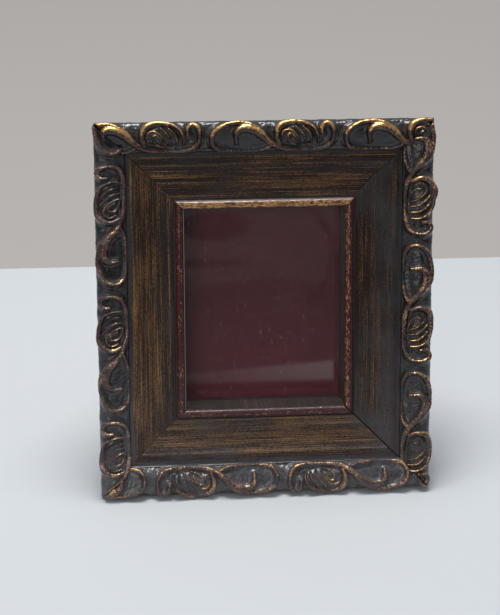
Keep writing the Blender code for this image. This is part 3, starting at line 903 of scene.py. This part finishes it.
def sight_wall():
    """Dark paint, chipped to paler wood, on the wall round the sight opening."""
    shader = Shader("sight_wall")
    fleck = drawn(shader.attribute("grain", "Vector"), (0.9, 2.0, 1.0), 5, 0.7)
    rough = bump(noise(shader.place(), 700, 5), 0.1)
    shader.surface(Base_Color=colour_ramp(fleck, *SIGHT_PAINTS), Roughness=0.5, Normal=rough)
    return shader.material


def wood(name, dark, pale, painted_edge=0.0):
    """Plain wood, with paint run over its outer edge as far as painted_edge, if that is given."""
    shader = Shader(name)
    grain = shader.attribute("grain", "Vector")
    lines = drawn(grain, (0.035, 1.1, 1.1), 5, 0.6, 0.4)
    pores = drawn(grain, (0.25, 5.0, 5.0), 3, 0.6)
    colour = mix(step(lines, 0.36, 0.62), dark, pale)
    colour = mix(step(pores, 0.60, 0.70, 0.0, 0.55), colour, tuple(c * 0.5 for c in dark))
    if painted_edge:
        inward = split(grain)[1]
        ragged = times(noise(grain, 0.16, 4, 0.6), 3.0)
        share = step(plus(inward, ragged), painted_edge, painted_edge + 0.9, 0.85, 0.0)
        colour = mix(share, colour, CHARCOAL)
    height = plus(lines, times(pores, 0.5))
    shader.surface(Base_Color=colour, Roughness=0.62, Normal=bump(height, 0.09))
    return shader.material


SCREEN_PITCH = 4.2  # radians to a millimetre


def hardboard(name, dark, pale):
    """Pressed board: short fibres every way, with the faint mark of the press screen."""
    shader = Shader(name)
    grain = shader.attribute("grain", "Vector")
    fibres = drawn(grain, (0.8, 2.6, 2.6), 6, 0.75, 1.2)
    mottle = noise(grain, 0.16, 4, 0.6)
    across, along = (times(part, SCREEN_PITCH) for part in split(grain)[:2])
    screen = times(arithmetic("SINE", across), arithmetic("SINE", along))
    colour = mix(step(fibres, 0.36, 0.64), dark, pale)
    colour = mix(step(mottle, 0.35, 0.7, 0.0, 0.45), colour, dark)
    height = plus(fibres, times(screen, 0.2))
    shader.surface(Base_Color=colour, Roughness=0.7, Normal=bump(height, 0.14))
    return shader.material


def aged_metal(name, bright, tarnish):
    """Worn metal with darker patches and fine scratches."""
    shader = Shader(name)
    place = shader.place()
    patches = noise(place, 260, 5, 0.6, 0.3)
    scratches = drawn(place, (300, 2600, 900), 3, 0.6, 0.3)
    share = step(plus(patches, times(scratches, 0.25)), 0.58, 0.90, 0.0, 0.8)
    shader.surface(
        Base_Color=mix(share, bright, tarnish),
        Roughness=step(patches, 0.35, 0.7, 0.24, 0.46),
        Normal=bump(scratches, 0.02),
        Metallic=1.0,
    )
    return shader.material


def picture_glass():
    """Clear glass that lets lamps light what is behind it, with a little dust on it."""
    shader = Shader("picture_glass")
    place = shader.place()
    parts = split(place)
    flat = shader.node("ShaderNodeCombineXYZ", {0: parts[0], 1: parts[2]}).outputs[0]
    specks = step(cells(flat, 130), 0.02, 0.05, 1.0, 0.0)
    grains = step(cells(flat, 260), 0.03, 0.09, 0.45, 0.0)
    drifts = step(noise(place, 60, 3, 0.6, 1.0), 0.38, 0.62, 0.15, 0.85)
    dust = times(arithmetic("MAXIMUM", specks, grains), drifts)
    smear = step(noise(place, 28, 4, 0.6, 1.5), 0.45, 0.75)
    shader.surface(Base_Color=(0.92, 0.96, 0.95), Roughness=0.02, IOR=1.5, Transmission_Weight=1.0)
    film = shader.node("ShaderNodeBsdfDiffuse", {"Color": (0.6, 0.6, 0.6)}).outputs[0]
    share = weighted((dust, 0.36), (smear, 0.008))
    clean = shader.principled.outputs[0]
    dusty = shader.node("ShaderNodeMixShader", {0: share, 1: clean, 2: film}).outputs[0]
    clear = shader.node("ShaderNodeBsdfTransparent", {"Color": (0.93, 0.96, 0.95)}).outputs[0]
    shadow_ray = shader.node("ShaderNodeLightPath").outputs["Is Shadow Ray"]
    mixed = shader.node("ShaderNodeMixShader", {0: shadow_ray, 1: dusty, 2: clear})
    put(shader.tree.nodes["Material Output"].inputs["Surface"], mixed.outputs[0])
    return shader.material


def velvet():
    shader = Shader("maroon_velvet")
    place = shader.place()
    nap = noise(place, 1500, 3)
    brushed = noise(place, 60, 3, 0.5, 0.8)
    colour = mix(brushed, (0.086, 0.0165, 0.0225), (0.108, 0.0215, 0.029))
    shader.surface(Base_Color=colour, Roughness=0.9, Normal=bump(nap, 0.03))
    shader.surface(Sheen_Weight=0.05, Sheen_Roughness=0.4, Specular_IOR_Level=0.1)
    return shader.material


# Pieces inside and on the back

SOFTENED = {  # radius of the rounded edges, segments round them, and the material
    "display_panel": (0.6, 3, "velvet"),
    "spacer": (0.2, 1, "stained"),
    "back_board": (0.3, 2, "board"),
    "easel_leg": (0.5, 3, "leg"),
    "hinge_leaf": (0.12, 2, "brass"),
    "turn_button": (0.25, 3, "brass"),
    "corner_nail": (0.1, 1, "steel"),
}
RIVET_HEAD, RIVET_TAIL, RIVET_SHANK = (2.0, 0.8), (1.7, 0.6), 0.9  # radius and height, then a radius
SCREW_HEAD, SCREW_SHANK, SCREW_SLOT = (2.3, 1.1), 1.1, (0.6, 0.5)
PIN_RADIUS = 0.8
SHARP_ANGLE = 40  # degrees, over which an edge is rounded


def broad_axes(name):
    """The directions right, along and out of a flat piece, from its largest face."""
    out = Vector(max(NODES[name].data.polygons, key=lambda polygon: polygon.area).normal)
    right = Vector((1, 0, 0))
    return Matrix((right, out.cross(right), out))


def add_grain(mesh, axes):
    """Coordinates in millimetres whose first axis runs the piece's longer way."""
    places = points_of(mesh) @ np.array(axes).T / MM
    reach = np.ptp(places, axis=0)
    order = (0, 1, 2) if reach[0] > reach[1] else (1, 0, 2)
    add_attribute(mesh, "grain", places[:, order])


def keep_flats_flat(mesh):
    """Shading normals that follow the largest faces, so that only the rounded edges look round."""
    normals = np.zeros((len(mesh.vertices), 3))
    for polygon in mesh.polygons:
        normals[list(polygon.vertices)] += np.array(polygon.normal) * polygon.area**1.5
    normals /= np.linalg.norm(normals, axis=1)[:, None] + 1e-20
    mesh.normals_split_custom_set_from_vertices(normals.tolist())


def add_softened(node, radius, segments, material):
    """The node's own shape with its edges rounded."""
    shape = bmesh.new()
    shape.from_mesh(NODES[node].data)
    bmesh.ops.remove_doubles(shape, verts=shape.verts, dist=0.002 * MM)
    bmesh.ops.dissolve_limit(shape, angle_limit=radians(1), verts=shape.verts, edges=shape.edges)
    edges = [edge for edge in shape.edges if edge.calc_face_angle(0) > radians(SHARP_ANGLE)]
    style = {"segments": segments, "profile": 0.5, "affect": "EDGES", "clamp_overlap": True}
    bmesh.ops.bevel(shape, geom=edges, offset=radius * MM, **style)
    mesh = bpy.data.meshes.new(f"fine_{node}")
    shape.to_mesh(mesh)
    shape.free()
    add_grain(mesh, broad_axes(node) if node == "easel_leg" else UPRIGHT)
    add_object(mesh, node, [material], 100)
    keep_flats_flat(mesh)


def turned_axis(node, direction):
    """The low end of a turned node's axis in metres, its axes, and its length in millimetres."""
    across = direction.orthogonal().normalized()
    axes = Matrix((across, direction.cross(across), direction))
    places = points_of(NODES[node].data) @ np.array(axes).T
    low, high = places.min(0), places.max(0)
    base = axes.transposed() @ Vector(((low[0] + high[0]) / 2, (low[1] + high[1]) / 2, low[2]))
    return base, axes, float(high[2] - low[2]) / MM


def turned_mesh(node, profile, base, axes, count=40):
    """The piece for a node, turned about an axis, from (radius, distance along) points in millimetres."""
    angles = np.linspace(0, 2 * pi, count, endpoint=False)
    loops = [[(r * cos(a), r * sin(a), along) for a in angles] for r, along in profile]
    return mesh_from_loops(f"fine_{node}", np.array(loops) @ np.array(axes) * MM + np.array(base))


def dome(radius, height, base, steps=8):
    """A domed head's profile, from its rim to its crown, with a short straight rim."""
    rim = 0.3 * height
    turns = np.linspace(0, pi / 2, steps + 1)
    crown = [(radius * cos(turn) + 0.03, base + rim + (height - rim) * sin(turn)) for turn in turns]
    return [(radius - 0.12, base), (radius, base + 0.12), *crown]


def cut_slot(mesh, axes, centre, size):
    """The mesh with a box of the given size taken out of it."""
    shape = bmesh.new()
    bmesh.ops.create_cube(shape, size=1.0)
    turn = axes.transposed().to_4x4() @ Matrix.Diagonal((*(side * MM for side in size), 1))
    shape.transform(Matrix.Translation(centre) @ turn)
    cutter_mesh = bpy.data.meshes.new("cutter")
    shape.to_mesh(cutter_mesh)
    shape.free()
    piece, cutter = linked("piece", mesh), linked("cutter", cutter_mesh)
    modifier = piece.modifiers.new("slot", "BOOLEAN")
    modifier.solver = "EXACT"
    modifier.object = cutter
    result = bpy.data.meshes.new_from_object(piece.evaluated_get(bpy.context.evaluated_depsgraph_get()))
    result.name = mesh.name
    for helper in (piece, cutter):
        bpy.data.objects.remove(helper)
    return result


def add_screw(node, material):
    back = Vector(JOINTS["button_turn_upper_left"]["axis"])
    base, axes, length = turned_axis(node, back)
    neck = length - SCREW_HEAD[1]
    profile = [(0.15, 0), (SCREW_SHANK, 2.5), (SCREW_SHANK, neck - 0.01), *dome(*SCREW_HEAD, neck)]
    mesh = turned_mesh(node, profile, base, axes)
    up = Vector(UPRIGHT[1])
    slot_axes = Matrix((back.cross(up), up, back))
    centre = base + back * (length - SCREW_SLOT[1] / 2 + 0.5) * MM
    mesh = cut_slot(mesh, slot_axes, centre, (SCREW_SLOT[0], 6, SCREW_SLOT[1] + 1))
    add_object(mesh, node, [material], 30)


def add_rivet(node, material):
    """A rivet with its domed head at the far end of out, and its clenched tail at the other."""
    axes = broad_axes("easel_leg") if node.startswith("leg") else UPRIGHT
    out = Vector(axes[2])
    if node.startswith("board") == (out.y < 0):
        out = -out
    base, axes, length = turned_axis(node, out)
    neck = length - RIVET_HEAD[1]
    radius = RIVET_TAIL[0]
    tail = [(radius - 0.5, 0.15), (radius - 0.25, 0), (radius, 0.2), RIVET_TAIL]
    shank = [(RIVET_SHANK, RIVET_TAIL[1] + 0.01), (RIVET_SHANK, neck - 0.01)]
    mesh = turned_mesh(node, tail + shank + dome(*RIVET_HEAD, neck), base, axes)
    add_object(mesh, node, [material], 40)


def add_pin(node, material):
    base, axes, length = turned_axis(node, Vector((1, 0, 0)))
    end = [(0.03, 0), (0.45, 0.05), (0.7, 0.2), (PIN_RADIUS, 0.45)]
    profile = end + [(radius, length - along) for radius, along in reversed(end)]
    add_object(turned_mesh(node, profile, base, axes, 32), node, [material], 60)


def add_back(finishes):
    for node in NODES:
        for start, (radius, segments, finish) in SOFTENED.items():
            if node.startswith(start):
                add_softened(node, radius, segments, finishes[finish])
        if node.startswith("button_screw"):
            add_screw(node, finishes["brass"])
        elif "rivet" in node:
            add_rivet(node, finishes["brass"])
    add_pin("hinge_pin", finishes["steel"])


# Stage, lights and camera, in metres

CAMERA_AIM = (-0.0064, 0.0, 0.0799)
CAMERA_DISTANCE = 0.8148
CAMERA_AZIMUTH, CAMERA_ELEVATION, CAMERA_ROLL = radians(-5.98), radians(26.25), radians(1.17)
CAMERA_LENS = 109.5


def camera_back():
    """The direction from what the camera aims at to the camera."""
    flat = cos(CAMERA_ELEVATION)
    return Vector((sin(CAMERA_AZIMUTH) * flat, -cos(CAMERA_AZIMUTH) * flat, sin(CAMERA_ELEVATION)))


def add_camera():
    data = bpy.data.cameras.new("camera")
    data.lens = CAMERA_LENS
    camera = linked("camera", data)
    turn = camera_back().to_track_quat("Z", "Y").to_matrix() @ Matrix.Rotation(CAMERA_ROLL, 3, "Z")
    camera.matrix_world = Matrix.Translation(camera_place()) @ turn.to_4x4()
    bpy.context.scene.camera = camera


def add_area_light(name, place, aim, size, power, colour=(1, 1, 1)):
    data = bpy.data.lights.new(name, "AREA")
    data.shape = "RECTANGLE"
    data.size, data.size_y = size
    data.energy = power
    data.color = colour
    light = linked(name, data)
    light.visible_camera = False
    back = Vector(place) - Vector(aim)
    light.matrix_world = Matrix.Translation(place) @ back.to_track_quat("Z", "Y").to_matrix().to_4x4()


SKY = (0.34, 0.365, 0.41)
ROOM = (0.045, 0.045, 0.048)  # the dark side that the camera stands on
CARD_DISTANCE = 1.6
REACH = 4.0
CLOTH_END = 0.217  # where the cloth ends behind the frame, and the plain table goes on


def camera_place():
    return Vector(CAMERA_AIM) + CAMERA_DISTANCE * camera_back()


def add_sheet(name, corners, shader):
    """One flat four-sided piece of the stage."""
    mesh = bpy.data.meshes.new(name)
    mesh.from_pydata([tuple(corner) for corner in corners], [], [(0, 1, 2, 3)])
    mesh.materials.append(shader.material)
    sheet = linked(name, mesh)
    return sheet


def mirrored_on_card(u, v):
    """Where the camera sees the card's plane by the glass, at a share u across and v up the sight opening."""
    x = -WIDTH / 2 + FACE + u * (WIDTH - 2 * FACE)
    y = FACE + v * (HEIGHT - 2 * FACE)
    point = Vector(to_row((x, y, GLASS_FRONT)))
    normal = Vector(to_row((0, 0, 1)) - to_row((0, 0, 0))).normalized()
    ray = (point - camera_place()).normalized()
    ray = ray - 2 * ray.dot(normal) * normal
    return point + ray * ((-CARD_DISTANCE - point.y) / ray.y)


DARK_ELLIPSES = (  # centre, half sizes and how much light is left in each
    ((0.2, 0.88), (0.23, 0.075), 0.42),
    ((0.1, 0.69), (0.32, 0.025), 0.55),
)
DARK_ARC_CENTRE, DARK_ARC_RADIUS = (0.55, 0.72, 0), 0.40


def room_glow(spot, u, v):
    """The dim room, with two soft dark ellipses, part of a dark arc, and less light low down."""
    wave = centred(noise(spot, 2.2, 2, 0.5, 0.4))
    glow = step(plus(v, times(wave, 0.22)), 0.56, 0.60, 0.115, 0.19)
    for centre, size, left in DARK_ELLIPSES:
        reach = away_from(spot, (*centre, 0), (1 / size[0], 1 / size[1], 0))
        glow = times(glow, step(reach, 0.8, 1.15, left, 1.0))
    reach = away_from(spot, DARK_ARC_CENTRE, (1, 1.3, 0))
    off_arc = arithmetic("ABSOLUTE", minus(reach, DARK_ARC_RADIUS))
    on_arc = times(step(off_arc, 0.012, 0.03, 1.0, 0.0), step(u, 0.7, 0.85))
    glow = times(glow, minus(1.0, times(on_arc, 0.5)))
    return times(glow, step(v, 0.03, 0.16, 0.2, 1.0))


def bright_strip(u, v):
    """A strip low down, slanting a little and brighter to the right."""
    top = plus(times(u, 0.05), 0.125)
    below_top = step(minus(v, top), 0.0, 0.015, 1.0, 0.0)
    strip = times(step(v, 0.075, 0.095), below_top)
    strip = times(strip, step(u, 0.955, 0.965, 1.0, 0.0))
    return times(strip, step(u, 0.0, 1.0, 0.12, 0.5))


def room_card():
    """What is seen mirrored in the glass."""
    shader = Shader("room_card")
    spot = shader.attribute("spot", "Vector")
    u, v = split(spot)[:2]
    glow = plus(room_glow(spot, u, v), bright_strip(u, v))
    shader.surface(Base_Color=(0, 0, 0), Emission_Color=(0.98, 0.99, 1.0), Emission_Strength=glow)
    return shader


def add_world():
    world = bpy.data.worlds.new("studio")
    world.use_nodes = True
    tree = world.node_tree
    _, depth, height = split(add_node(tree, "ShaderNodeTexCoord", {}).outputs["Generated"])
    ahead = step(depth, -0.85, -0.5, 1.0, 0.0)
    low = step(height, 0.3, 0.75, 1.0, 0.0)
    put(tree.nodes["Background"].inputs["Color"], mix(times(ahead, low), SKY, ROOM))
    bpy.context.scene.world = world


def add_room_card():
    """The card, seen only in reflections."""
    spots = ((-0.2, -0.1), (1.2, -0.1), (1.2, 1.1), (-0.2, 1.1))
    card = add_sheet("room_card", [mirrored_on_card(*spot) for spot in spots], room_card())
    add_attribute(card.data, "spot", np.array([(u, v, 0) for u, v in spots]))
    card.visible_camera = False
    card.visible_diffuse = False
    card.visible_shadow = False


def table_strip(near, far):
    """Corners of the table's top from one distance back to another."""
    return (-REACH, near, 0), (REACH, near, 0), (REACH, far, 0), (-REACH, far, 0)


def add_stage():
    cloth = Shader("pale_cloth")
    cloth.surface(Base_Color=(0.60, 0.62, 0.63), Roughness=0.9)
    add_sheet("cloth", table_strip(-REACH, CLOTH_END), cloth)
    table = Shader("grey_table")
    table.surface(Base_Color=(0.151, 0.129, 0.126), Roughness=0.9)
    table.surface(Emission_Color=(0.292, 0.285, 0.266), Emission_Strength=1.0)
    add_sheet("table", table_strip(CLOTH_END, REACH), table)
    add_room_card()
    add_world()
    add_area_light("overhead", (-0.05, 0.06, 1.0), (0, 0.02, 0.08), (0.45, 0.35), 8.5)
    add_area_light("front_fill", (-0.35, -1.0, 0.45), (0, 0, 0.08), (0.6, 0.6), 2.3, (1.0, 0.98, 0.95))


def main():
    bpy.context.scene.view_settings.view_transform = "Standard"
    spacing = ORNAMENT_SPACING
    bare_wood = wood("bare_wood", (0.21, 0.125, 0.065), (0.36, 0.235, 0.13), BACK_INSET + 2.6)
    zones = [charcoal("outer_charcoal"), charcoal(), streaked_cove(), gilt_bead(), sight_wall(), bare_wood]
    patina = scroll_patina()
    for side in SIDES:
        add_rail(side, zones)
        add_ornament(side, [patina], spacing)
    finishes = {
        "glass": picture_glass(),
        "velvet": velvet(),
        "stained": wood("stained_wood", (0.014, 0.009, 0.007), (0.024, 0.016, 0.012)),
        "board": hardboard("brown_hardboard", (0.055, 0.028, 0.014), (0.13, 0.072, 0.038)),
        "leg": wood("stained_leg", (0.030, 0.016, 0.010), (0.060, 0.034, 0.021)),
        "brass": aged_metal("aged_brass", (0.50, 0.345, 0.14), (0.17, 0.10, 0.042)),
        "steel": aged_metal("dull_steel", (0.36, 0.36, 0.37), (0.14, 0.12, 0.11)),
    }
    NODES["glass_pane"].data.materials.clear()
    NODES["glass_pane"].data.materials.append(finishes["glass"])
    add_back(finishes)
    add_stage()
    add_camera()
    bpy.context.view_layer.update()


main()
